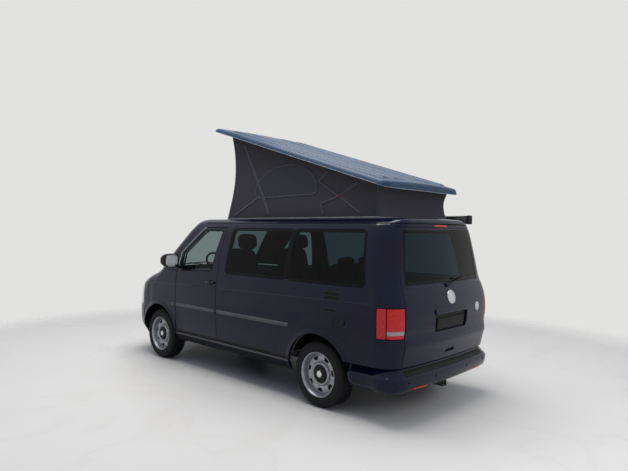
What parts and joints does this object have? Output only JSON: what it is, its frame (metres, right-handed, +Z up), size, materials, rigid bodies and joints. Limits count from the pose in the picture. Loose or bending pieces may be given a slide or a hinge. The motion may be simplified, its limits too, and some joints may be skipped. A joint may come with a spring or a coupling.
{
  "type": "camper van",
  "caption": "Panel camper van with a tilting pop-up roof on fabric sides, hinged cab doors, tailgate and bonnet, steered front wheels and a side awning case.",
  "frame": {"origin": "on the ground under the middle of the van's length and width", "axes": "+X towards the front bumper, +Y to the van's left, +Z up"},
  "size_m": [4.892, 2.296, 3.1542],
  "materials": {
    "body_paint": "glossy",
    "roof_paint": "glossy",
    "dark_glass": "clear",
    "clear_glass": "clear",
    "black_plastic": "matte",
    "lamp_red": "glossy",
    "lamp_clear": "glossy",
    "steel_black": "satin",
    "rim_silver": "satin",
    "tyre_rubber": "matte",
    "steel": "satin",
    "alloy": "satin",
    "cast": "rough",
    "tent_fabric": "matte",
    "seat_fabric": "matte",
    "awning_paint": "satin"
  },
  "bodies": {
    "body": {"underbody": "steel_black", "side_left": "body_paint", "side_right": "body_paint", "windscreen_frame": "body_paint", "roof_frame": "body_paint", "front_wings": "body_paint", "front_bumper": "body_paint", "rear_bumper": "body_paint", "grille": "black_plastic", "sliding_door": "body_paint", "windscreen": "clear_glass", "side_glass": "dark_glass", "headlamps": "lamp_clear", "tail_lamps": "lamp_red", "awning": "awning_paint", "tow_fitting": "steel_black", "front_subframe": "steel_black", "rear_axle": "steel_black", "exhaust": "steel", "fuel_tank": "black_plastic", "engine": "cast", "dashboard": "black_plastic", "steering_wheel": "black_plastic", "front_seats": "seat_fabric", "rear_bench": "seat_fabric", "roof_bellows": "tent_fabric"},
    "door_left": {"front_door_left": "body_paint", "door_glass_left": "clear_glass", "mirror_left": "black_plastic"},
    "door_right": {"front_door_right": "body_paint", "door_glass_right": "clear_glass", "mirror_right": "black_plastic"},
    "tailgate": {"tailgate": "body_paint", "tailgate_glass": "dark_glass"},
    "bonnet": {"bonnet": "body_paint"},
    "rear_arms": {"rear_lift_arms": "alloy"},
    "lower_arms": {"front_lift_lower": "alloy"},
    "upper_arms": {"front_lift_upper": "alloy"},
    "pop_roof": {"pop_roof": "roof_paint"},
    "steer_left": {"knuckle_left": "cast"},
    "steer_right": {"knuckle_right": "cast"},
    "wheel_front_left": {"tyre_front_left": "tyre_rubber", "rim_front_left": "rim_silver"},
    "wheel_front_right": {"tyre_front_right": "tyre_rubber", "rim_front_right": "rim_silver"},
    "wheel_rear_left": {"tyre_rear_left": "tyre_rubber", "rim_rear_left": "rim_silver"},
    "wheel_rear_right": {"tyre_rear_right": "tyre_rubber", "rim_rear_right": "rim_silver"}
  },
  "joints": [
    {"name": "steering_left", "type": "hinge", "parent": "body", "child": "steer_left", "pos_m": [1.552, 0.672, 0.334], "axis": [0, 0, 1], "range_deg": [-35, 35]},
    {"name": "steering_right", "type": "hinge", "parent": "body", "child": "steer_right", "pos_m": [1.552, -0.672, 0.334], "axis": [0, 0, 1], "range_deg": [-35, 35]},
    {"name": "door_left", "type": "hinge", "parent": "body", "child": "door_left", "pos_m": [1.128, 0.947, 0.9], "axis": [0, 0, -1], "range_deg": [0, 60]},
    {"name": "door_right", "type": "hinge", "parent": "body", "child": "door_right", "pos_m": [1.128, -0.947, 0.9], "axis": [0, 0, 1], "range_deg": [0, 60]},
    {"name": "tailgate", "type": "hinge", "parent": "body", "child": "tailgate", "pos_m": [-2.26, 0, 1.869], "axis": [0, 1, 0], "range_deg": [0, 86]},
    {"name": "bonnet", "type": "hinge", "parent": "body", "child": "bonnet", "pos_m": [1.793, 0, 1.213], "axis": [0, -1, 0], "range_deg": [0, 55]},
    {"name": "roof_lift", "type": "hinge", "parent": "body", "child": "rear_arms", "pos_m": [-1.31064, 0, 1.91], "axis": [0, -1, 0], "range_deg": [0, 35.1], "deforming": ["roof_bellows"]},
    {"name": "roof_tilt", "type": "hinge", "parent": "rear_arms", "child": "pop_roof", "pos_m": [-1.82616, 0, 2.27232], "axis": [0, -1, 0], "range_deg": [-52.4, 0.1]},
    {"name": "front_lift", "type": "hinge", "parent": "body", "child": "lower_arms", "pos_m": [0.31366, 0, 1.91], "axis": [0, -1, 0], "range_deg": [-0.1, 35.2]},
    {"name": "front_knee", "type": "hinge", "parent": "lower_arms", "child": "upper_arms", "pos_m": [-0.41534, 0, 2.42235], "axis": [0, -1, 0], "range_deg": [-70.3, 0.1]},
    {"name": "wheel_front_left", "type": "hinge", "parent": "steer_left", "child": "wheel_front_left", "pos_m": [1.552, 0.814, 0.334], "axis": [0, 1, 0], "continuous": true},
    {"name": "wheel_front_right", "type": "hinge", "parent": "steer_right", "child": "wheel_front_right", "pos_m": [1.552, -0.814, 0.334], "axis": [0, 1, 0], "continuous": true},
    {"name": "wheel_rear_left", "type": "hinge", "parent": "body", "child": "wheel_rear_left", "pos_m": [-1.448, 0.814, 0.334], "axis": [0, 1, 0], "continuous": true},
    {"name": "wheel_rear_right", "type": "hinge", "parent": "body", "child": "wheel_rear_right", "pos_m": [-1.448, -0.814, 0.334], "axis": [0, 1, 0], "continuous": true}
  ],
  "couplings": [
    {"joint": "steering_right", "follows": "steering_left", "ratio": 1},
    {"joint": "roof_tilt", "follows": "roof_lift", "ratio": -1.49},
    {"joint": "front_lift", "follows": "roof_lift", "ratio": 1},
    {"joint": "front_knee", "follows": "roof_lift", "ratio": -2}
  ]
}
